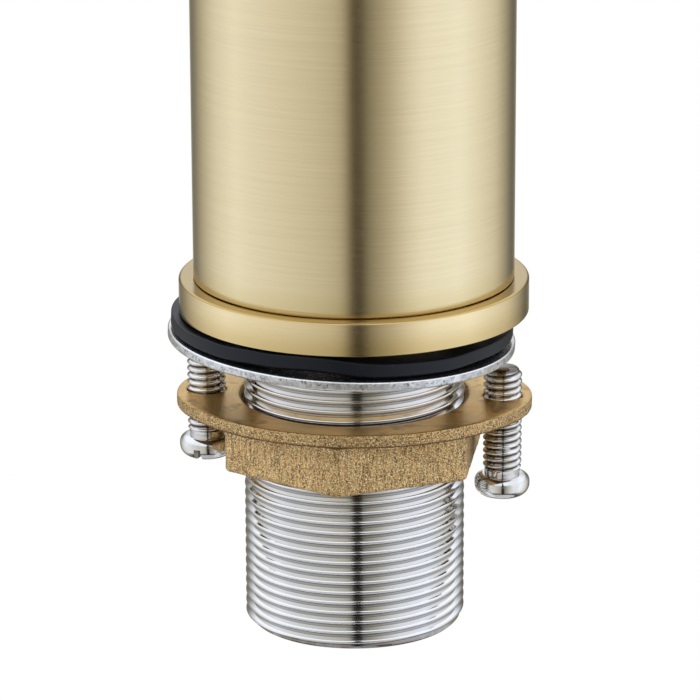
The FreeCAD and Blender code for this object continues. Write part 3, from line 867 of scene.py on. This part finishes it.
# %% [markdown]
# ## The backnut's section
# A station is one corner of the nut's cross-section. It mixes the three radii, adds an offset and
# names a height: the fillet from the hexagon out to the plate is a row of stations on the hexagon
# whose offsets grow. Stations could be typed in one by one, but arcs and the lines between them say
# what they are, and a long wall gets enough points to be uneven.

# %% Stations round the section
hex_edge, root_fillet, plate_edge, top_edge = 0.5, 0.4, 0.55, 0.25
bend = np.radians(np.linspace(0, 90, 5))


def arc(base, offset, height, radius, angles):
    """Stations on a circle about (offset, height): offset + r cos a, height + r sin a."""
    return [(*base, offset + radius * math.cos(a), height + radius * math.sin(a)) for a in angles]


def line(start, end, count):
    """Evenly spaced stations between two, without its ends."""
    share = np.linspace(0, 1, count + 2)[1:-1, None]
    return [tuple(row) for row in np.array(start) * (1 - share) + np.array(end) * share]


def stations():
    """Rows of bore, hexagon and plate shares, offset and height, counter-clockwise.

    The second result counts the stations up to the plate's upper edge."""
    bore, hexed, plate = (1, 0, 0), (0, 1, 0), (0, 0, 1)
    foot = [(*bore, 0.0, hex_low + 0.6), (*bore, 0.05, hex_low + 0.5), (*bore, 0.6, hex_low)]
    lower = arc(hexed, -hex_edge, hex_low + hex_edge, hex_edge, bend - math.pi / 2)
    root = arc(hexed, root_fillet, plate_low - root_fillet, root_fillet, math.pi - bend)
    under = arc(plate, -plate_edge, plate_low + plate_edge, plate_edge, bend - math.pi / 2)
    upper = arc(plate, -top_edge, plate_high - top_edge, top_edge, bend)
    mouth = [(*bore, 0.85, plate_high), (*bore, 0.7, plate_high - 0.05)]
    mouth.append((*bore, 0.0, plate_high - 0.8))
    skin = foot + line(foot[-1], lower[0], 6) + lower + line(lower[-1], root[0], 26)
    skin += root + line(root[-1], under[0], 9) + under + line(under[-1], upper[0], 6)
    turned = upper + line(upper[-1], mouth[0], 12) + mouth + line(mouth[-1], foot[0], 3)
    return np.array(skin + turned), len(skin)


nut_rows, skin_count = stations()
print("stations round the nut's section:", len(nut_rows))

# %% [markdown]
# ## Lumps from the sand
# Sand leaves lumps on a casting that a bump map can't put on its outline. A Displace modifier with
# a texture would make them, but would be hard to keep to the cast faces. So a small lattice of
# random numbers is blended smoothly between its points, and later moves the cast stations a few
# hundredths of a millimetre along the surface's normals.

# %% Smooth random lumps
lattice_side = 32
random = np.random.default_rng(7)
lattice = random.random((lattice_side, lattice_side, lattice_side))


def lumps(points, size):
    """Smooth random values of -0.5..0.5, with lumps of about the given sizes along X, Y and Z.

    Each point mixes its cell's eight corners, weighted by s * s * (3 - 2 * s) along each axis."""
    place = points / np.array(size)
    cell = np.floor(place).astype(int)
    share = place - cell
    share = share * share * (3 - 2 * share)
    total = 0
    for corner in np.ndindex(2, 2, 2):
        index = (cell + corner) % lattice_side
        weight = np.prod(np.where(corner, share, 1 - share), axis=-1)
        total = total + weight * lattice[index[..., 0], index[..., 1], index[..., 2]]
    return total - 0.5


print("the lattice's mean is", round(float(lattice.mean()), 3))

# %% [markdown]
# ## Casting the nut
# Now the nut is one grid of angle by station. The mesh could be made first and sculpted, but then
# its normals would have to be read back. On the grid each point's normal comes from its neighbours,
# and all of them move at once. The turned faces stay smooth.

# %% Cast the nut
nut_segments = 720
first_cast = 6
large_size, large_height = (1.3, 1.3, 1.6), 0.07
small_size, small_height, small_shift = (0.55, 0.55, 0.8), 0.05, 9
nut_angle = np.arange(nut_segments) * 2 * math.pi / nut_segments
bores = np.full(nut_segments, nut_bore)
bases = np.stack([bores, hexagon_radius(nut_angle), plate_radius(nut_angle)], -1)
nut_radius = bases @ nut_rows[:, :3].T + nut_rows[:, 3]
nut_points = np.stack(
    [
        nut_radius * np.cos(nut_angle)[:, None],
        nut_radius * np.sin(nut_angle)[:, None],
        np.broadcast_to(nut_rows[:, 4], nut_radius.shape),
    ],
    -1,
)
around = np.roll(nut_points, -1, 0) - np.roll(nut_points, 1, 0)
along_section = np.roll(nut_points, -1, 1) - np.roll(nut_points, 1, 1)
nut_normal = np.cross(around, along_section)
nut_normal /= np.linalg.norm(nut_normal, axis=-1, keepdims=True)
bumps = large_height * lumps(nut_points, large_size)
bumps += small_height * lumps(nut_points + small_shift, small_size)
bumps[:, :first_cast] = 0
bumps[:, skin_count:] = 0
nut_points = nut_points + nut_normal * bumps[..., None]
nut_faces = grid_faces(*nut_radius.shape, True, True)
nut = piece_from("cast_backnut", nut_points.reshape(-1, 3) * MM, nut_faces, 60.0)

# %% [markdown]
# ## Holes for the jack screws
# The plate has a threaded hole near each end for a jack screw. The hole's thread could be modelled
# too, but the screw fills the hole, so a plain one with a chamfered mouth is enough.

# %% Holes in the plate
screw_hole_r, mouth_wide, hole_deep = 2.88, 0.15, 4
screw_ring = 21.45 * MM


def screw_place(side):
    """A jack screw's axis: on the plate's long line, which is turned with the nut."""
    return side * screw_ring * math.cos(nut_turn), side * screw_ring * math.sin(nut_turn)


hole_mm = [
    (0, -hole_deep),
    (screw_hole_r, -hole_deep),
    (screw_hole_r, -mouth_wide),
    (screw_hole_r + mouth_wide, 0),
    (screw_hole_r + mouth_wide, 1),
    (0, 1),
]
holes = []
for side in (-1, 1):
    hole = turn("screw hole", (np.array(hole_mm) + (0, plate_high)) * MM, hole_sides, poles=True)
    hole.data.transform(Matrix.Translation((*screw_place(side), 0)))
    holes.append(hole)
cut(nut, *holes, smooth_under=60.0)

# %% [markdown]
# ## Cast brass
# The nut's sides are as the sand left them, with painted shade dark brown in the pits and painted
# glints on bright grains. The hexagon is streaked where it was drawn from the mould, with painted
# shade just under the plate, the plate's side carries painted shade that is darkest at its lower
# lip, and the top face was turned, which leaves fine rings. Three materials on three groups of faces
# would end in hard borders. One material that reads the height fades between them, and the grains
# show in tone and bump together.

# %% Cast brass
def cast_brass():
    """Grains with painted shade in the pits and painted glints on the sides, streaks and painted
    shade on the hexagon and plate, rings on the top face.
    """
    finish = Finish("cast brass", metallic=1.0)
    height = finish.height()

    def rise(base, low, high):
        """0 to 1 between two heights, both in mm from a base."""
        return height.clamp((base + low) * MM, (base + high) * MM)

    top = rise(plate_high, -0.13, -0.03)
    drawn = 1 - rise(plate_low, -0.5, -0.3)
    # the plate's lower lip, where painted shade draws a dark line
    painted_lip_shade = 1 - rise(plate_low, 0.15, 0.5)
    grain = finish.noise(4600.0, roughness=0.6)
    # painted glints: small grains painted bright, as if they caught the light
    painted_glints = finish.noise(6200.0, 1.0)
    streak = finish.stretched(3000, height * 450)
    patch = finish.noise(160.0, 3.0)
    rings = finish.stretched(60, finish.radius() * 6500, 3.0)
    stain = finish.noise(320.0, 3.0).clamp(0.52, 0.68)
    relief = grain * (1 - drawn * 0.4) + streak * (drawn * 0.4)
    # painted shade on the hexagon just under the plate, plus random patches of darker tone
    shade = rise(plate_low, -3.5, -0.5) * drawn * 0.3 + patch.clamp(0.35, 0.65) * 0.25
    # painted shade: where the relief is low, in the pits, the brass turns dark brown
    side = finish.mix(relief.clamp(0.37, 0.62), (0.13, 0.068, 0.024), (0.87, 0.54, 0.21))
    side = finish.mix(shade, side, (0.24, 0.13, 0.04))
    side = finish.mix(painted_glints.clamp(0.52, 0.65), side, (1.0, 0.82, 0.49))
    # painted shade on the plate's side, darkest at its lower lip
    side = finish.mix((1 - drawn) * (painted_lip_shade * 0.72 + 0.12), side, (0.12, 0.055, 0.012))
    face = finish.mix(patch.clamp(0.3, 0.7), (0.56, 0.325, 0.078), (0.86, 0.53, 0.16))
    face = finish.mix(rings.clamp(0.3, 0.7) * 0.5, face, (0.80, 0.57, 0.25))
    face = finish.mix(stain * 0.6, face, (0.26, 0.16, 0.06))
    finish.set("Base Color", finish.mix(top, side, face))
    dull, smooth = 0.40 + grain * 0.12, 0.28 + patch * 0.14
    finish.set("Roughness", dull * (1 - top) + smooth * top)
    finish.bump((grain * 0.6 + painted_glints * 0.4) * (1 - top), 0.00022)
    finish.bump(streak * drawn, 0.0001)
    finish.bump(rings * top, 0.00002)
    return finish.done()


brass = cast_brass()
dress(nut, brass, "nut", "cast_brass", "backnut")

# %% [markdown]
# ## Jack screws
# Two pan-head screws stand head down in the nut's plate, where they would press the washer up. Tip,
# thread, neck and head could be four parts, but then their borders would show. One surface does for
# all of them, because the rows after the thread simply go on round the head to its pole. Only the
# driver's slot is cut out.

# %% The screws
screw_form = (2.8 * MM, 1.0 * MM, 0.55 * MM)
tip_r, tip_extra = 2.12, 0.12
neck_r, neck_long = 2.55, 0.8
head_r, head_tall = 4.0, 3.3
slot_long, slot_wide, slot_deep = 10 * MM, 1.05 * MM, 1.8 * MM


def block(name, size):
    """A box about the origin, whose corners are half of its size away along X, Y and Z."""
    corner = np.array(list(np.ndindex(2, 2, 2))) - 0.5
    sides = [(0, 1, 3, 2), (4, 6, 7, 5), (0, 4, 5, 1), (2, 3, 7, 6), (0, 2, 6, 4), (1, 5, 7, 3)]
    return piece_from(name, corner * size, np.array(sides))


def jack_screw(name, node, side, slot_turn, trim):
    """A screw in the place of its node. The trim in mm moves its head up from the solid's."""
    low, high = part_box(node)
    tip, foot = high.z + tip_extra * MM, low.z + trim * MM
    head_mm = [(neck_r, head_tall), (head_r, head_tall), (head_r, 0), (0, 0)]
    points, faces = threaded(
        form=screw_form,
        low=foot + (head_tall + neck_long) * MM,
        high=tip,
        ends=(neck_r * MM, tip_r * MM),
        segments=72,
        before=np.array([(0, tip), (tip_r * MM, tip)]),
        after=rounded(head_mm, [0, 1.2, 1.75, 0], steps=9) + (0, foot),
    )
    piece = piece_from(name, points, faces, 60.0, weld=2e-6)
    slot = block("slot", (slot_long, slot_wide, 2 * slot_deep))
    turned = Matrix.Rotation(math.radians(slot_turn), 4, "Z")
    slot.data.transform(Matrix.Translation((0, 0, foot)) @ turned)
    cut(piece, slot, smooth_under=60.0)
    stand = Matrix.Translation((*screw_place(side), 0))
    piece.data.transform(stand @ Matrix.Rotation(nut_turn, 4, "Z"))
    return piece


def screw_hollow(finish):
    """Brown patches, and painted shade, near black, in the thread's roots, where the nearer screw's
    axis is close.
    """
    x, y, _ = finish.axes()
    away = []
    for side in (-1, 1):
        screw_x, screw_y = screw_place(side)
        away.append(((x - screw_x) ** 2 + (y - screw_y) ** 2) ** 0.5)
    # painted shade: near black in the roots of the screws' threads
    root = 1 - away[0].math("MINIMUM", away[1]).clamp(2.26 * MM, 2.62 * MM)
    patch = finish.noise(420.0, 3.0)
    stained, painted_root_shade = patch.clamp(0.3, 0.7) * 0.5, root * patch.clamp(0.2, 0.45) * 0.9
    return (stained, (0.46, 0.40, 0.32)), (painted_root_shade, (0.09, 0.065, 0.04))


screw_plate = nickel("screw plate", screw_hollow)
for name, node, body, side, slot_turn, trim in (
    ("left_screw_dressed", "left_jack_screw", "left_screw", -1, 74.0, 0.3),
    ("right_screw_dressed", "right_jack_screw", "right_screw", 1, 25.0, -0.15),
):
    screw = jack_screw(name, node, side, slot_turn, trim)
    dress(screw, screw_plate, body, "screw_plating", node)

# %% [markdown]
# ## Metal and plastic inside
# Spout, handle and what the column holds keep their solids. They could all share one grey, but the
# mixer can be opened up, so each gets the finish of its real counterpart. Two formulas cover them:
# drawn or machined metal has a fine mottle, and moulded plastic or pressed ceramic a slight orange
# peel under a cloudy tone.

# %% Plain metal and mouldings
def plain_metal(name, light, dark, roughness):
    """Mottle between two tones, with a gloss that follows it."""
    finish = Finish(name, metallic=1.0)
    mottle = finish.noise(900.0, 3.0)
    finish.set("Base Color", finish.mix(mottle, dark, light))
    finish.set("Roughness", roughness - 0.06 + mottle * 0.12)
    finish.bump(mottle, 0.00001)
    return finish.done()


def moulded(name, light, dark, roughness):
    """A cloud between two tones, and a peel that dulls and bumps."""
    finish = Finish(name)
    peel = finish.noise(1400.0)
    cloud = finish.noise(90.0)
    finish.set("Base Color", finish.mix(cloud, dark, light))
    finish.set("Roughness", roughness - 0.05 + peel * 0.1)
    finish.bump(peel, 0.00001)
    return finish.done()


machined = plain_metal("machined brass", (0.78, 0.60, 0.33), (0.66, 0.49, 0.25), 0.28)
drawn_steel = plain_metal("drawn steel", (0.66, 0.66, 0.66), (0.52, 0.52, 0.53), 0.25)
grub_steel = plain_metal("grub steel", (0.12, 0.12, 0.13), (0.06, 0.06, 0.065), 0.4)
white_plastic = moulded("cartridge plastic", (0.74, 0.74, 0.72), (0.66, 0.66, 0.64), 0.4)
blue_plastic = moulded("carrier plastic", (0.12, 0.20, 0.34), (0.09, 0.15, 0.27), 0.4)
ceramic = moulded("ceramic", (0.86, 0.86, 0.84), (0.80, 0.80, 0.78), 0.15)
aerator_plastic = moulded("aerator plastic", (0.78, 0.79, 0.79), (0.70, 0.71, 0.71), 0.35)

# %% [markdown]
# ## The solids that stay
# Each solid's record names its finish. A list of nodes written by hand would go stale with the next
# piece, so a table from the finishes' names to materials does the work for all of them.

# %% Give the solids their finishes
finishes = {
    "brushed_gold": column_gold,
    "machined_brass": machined,
    "pin_steel": drawn_steel,
    "grub_steel": grub_steel,
    "cartridge_plastic": white_plastic,
    "carrier_plastic": blue_plastic,
    "ceramic": ceramic,
    "aerator_plastic": aerator_plastic,
    "black_rubber": rubber,
    "plated_shank": shank_plate,
    "washer_steel": steel,
    "cast_brass": brass,
    "screw_plating": screw_plate,
}
for part in frame["record"]["subparts"]:
    for place in nodes[part["node"]].material_slots:
        place.material = finishes[part["material_slot"]]

# %% [markdown]
# ## Studio light
# The picture was taken inside a white tent with a narrow gap for the camera. The gap is what draws
# the dark stripe down the middle of every shiny piece. Lamps could light the mixer, but metal shows
# what it mirrors, so the tent itself is the light. Its brightness goes by direction round the
# mixer: each step below is an angle from the front, positive to the right, and a level.

# %% Levels round the mixer
tent_steps = [
    (-180, 1.0),
    (-170, 0.4),
    (-160, 0.16),
    (-148, 0.24),
    (-132, 0.52),
    (-113, 0.84),
    (-92, 1.03),
    (-72, 0.92),
    (-48, 0.80),
    (-26, 0.68),
    (-11, 0.57),
    (-4.5, 0.38),
    (-2, 0.06),
    (3, 0.05),
    (10, 0.24),
    (25, 0.52),
    (40, 0.86),
    (50, 1.02),
    (80, 1.13),
    (102, 0.91),
    (118, 0.74),
    (129, 0.50),
    (146, 0.18),
    (158, 0.12),
    (170, 0.4),
    (180, 1.0),
]


def lamplight(level, brown=0.0):
    """A level's colour: the tint goes from warm at 0.35 to cool at 1.15, and brown tans it."""
    share = min(max((level - 0.35) / 0.8, 0), 1)
    red = 1.04 - 0.11 * share + 0.1 * brown
    green = 1.0 - 0.1 * brown
    blue = 0.85 + 0.29 * share - 0.35 * brown
    return level * red, level * green, level * blue


levels = [level for _, level in tent_steps]
print("the tent's levels go from", min(levels), "to", max(levels))

# %% [markdown]
# ## The light tent
# The tent is a large ball round the mixer that glows inwards. An image of a studio could wrap the
# scene instead, but a formula is sharp at any size and every band in it has a name: a ramp round
# the mixer, a bright band above it, a dimmer top, a dark floor, and the gap, which narrows as it
# goes on overhead. The camera stands inside the tent and doesn't see it, only its reflections.

# %% The light tent
tent_radius = 1.3
gap_low, gap_high = -0.025, 0.135
overhead, underfoot, in_gap = (0.42, 0.42, 0.43), lamplight(0.08), (0.012, 0.010, 0.008)


def tent_glow():
    """Each band is a range along X, Y or Z in parts of the tent's radius, mixed over the ramp."""
    finish = Finish("tent glow", base_color=(0, 0, 0), roughness=1.0)
    x, y, z = [axis / tent_radius for axis in finish.axes()]
    azimuth = x.math("ARCTAN2", y * -1) / (2 * math.pi) + 0.5
    stops = [(step / 360 + 0.5, lamplight(level, abs(step) < 4)) for step, level in tent_steps]
    ramp = finish.node("ShaderNodeValToRGB", {"stops": stops}, {0: azimuth})
    narrow = 1 - z.clamp(0.0, 0.95) * 0.62
    past_left = (x - gap_low * narrow).clamp(-0.012, 0.012)
    past_right = (x - gap_high * narrow).clamp(-0.015, 0.015)
    front = 1 - y.clamp(0.25, 0.4)
    veiled = z.clamp(-0.30, -0.22) * (1 - z.clamp(0.0, 0.3))
    gap = past_left * (1 - past_right) * front * (1 - veiled)
    glow = finish.mix(z.clamp(0.15, 0.5), ramp.outputs[0], lamplight(1.15))
    glow = finish.mix(z.clamp(0.86, 0.97), glow, overhead)
    glow = finish.mix(z.clamp(-0.85, -0.62), underfoot, glow)
    glow = finish.mix(gap, glow, in_gap)
    finish.set("Emission Color", glow)
    finish.set("Emission Strength", 1.0)
    return finish.done()


climb = np.radians(np.linspace(-90, 90, 25))
tent_outline = np.stack([np.cos(climb), np.sin(climb)], -1) * tent_radius
tent = turn("tent", tent_outline, 48, poles=True)
tent.data.materials.append(tent_glow())
tent.visible_camera = False

# %% [markdown]
# ## Floor
# The floor is a small pale table far below. It could stand right under the shank, but then the
# upright walls would mirror it. This far down, the mixer hangs clear in the picture and its walls
# mirror the tent.

# %% The floor
floor_z, floor_r, floor_thick = -1.1, 0.6, 0.002
under = floor_z - floor_thick
floor_outline = np.array([(0, under), (floor_r, under), (floor_r, floor_z), (0, floor_z)])
floor = turn("floor", floor_outline, 128, poles=True)
floor.data.materials.append(Finish("floor", roughness=0.9, base_color=(0.8, 0.8, 0.8)).done())

# %% [markdown]
# ## Background
# The background is plain white. More light on the mixer would whiten it too, and bleach the mixer
# with it. Instead the world asks what kind of ray has come: it is white to the camera, to mirrors
# and to glass, and a little weaker as a light.

# %% The background
room_light = 0.8
scene = bpy.context.scene
world = bpy.data.worlds.new("studio")
scene.world = world
world.use_nodes = True
sky = Wiring(world.node_tree)
backdrop = sky.tree.nodes["Background"].inputs
sky.feed(backdrop["Color"], (1, 1, 1, 1))
ray_is = sky.node("ShaderNodeLightPath").outputs
seen = Value(sky, ray_is["Is Camera Ray"])
for kind in ("Is Glossy Ray", "Is Transmission Ray"):
    seen = seen.math("MAXIMUM", ray_is[kind])
strength = sky.node("ShaderNodeMapRange", None, {"Value": seen, "To Min": room_light})
sky.feed(backdrop["Strength"], strength.outputs["Result"])
scene.view_settings.view_transform = "Standard"
print("world nodes:", len(sky.tree.nodes))

# %% [markdown]
# ## Camera
# The picture was taken with a long lens from a little above, so near and far edges are almost the
# same size. A short lens close by would show the same pieces, but splay them. The camera stands in
# front, looks down by its tilt, and is rolled by a trace. Its place, tilt and lens were found by
# laying the rings' ellipses over the picture's.

# %% The camera
lens_mm, sensor_mm = 204.57, 36.0
looks_down, rolls = 16.825, -0.204
stands_at = (-0.00059, -0.548386, 0.159292)
camera_data = bpy.data.cameras.new("camera")
camera_data.lens = lens_mm
camera_data.sensor_width = sensor_mm
camera_data.clip_start = 0.01
camera = bpy.data.objects.new("camera", camera_data)
scene.collection.objects.link(camera)
tilt = Matrix.Rotation(math.radians(90 - looks_down), 4, "X")
roll = Matrix.Rotation(math.radians(rolls), 4, "Z")
camera.matrix_world = Matrix.Translation(stands_at) @ tilt @ roll
scene.camera = camera
print("the camera stands", round(math.dist(stands_at, (0, 0, 0)), 3), "m from the origin")

# %% [markdown]
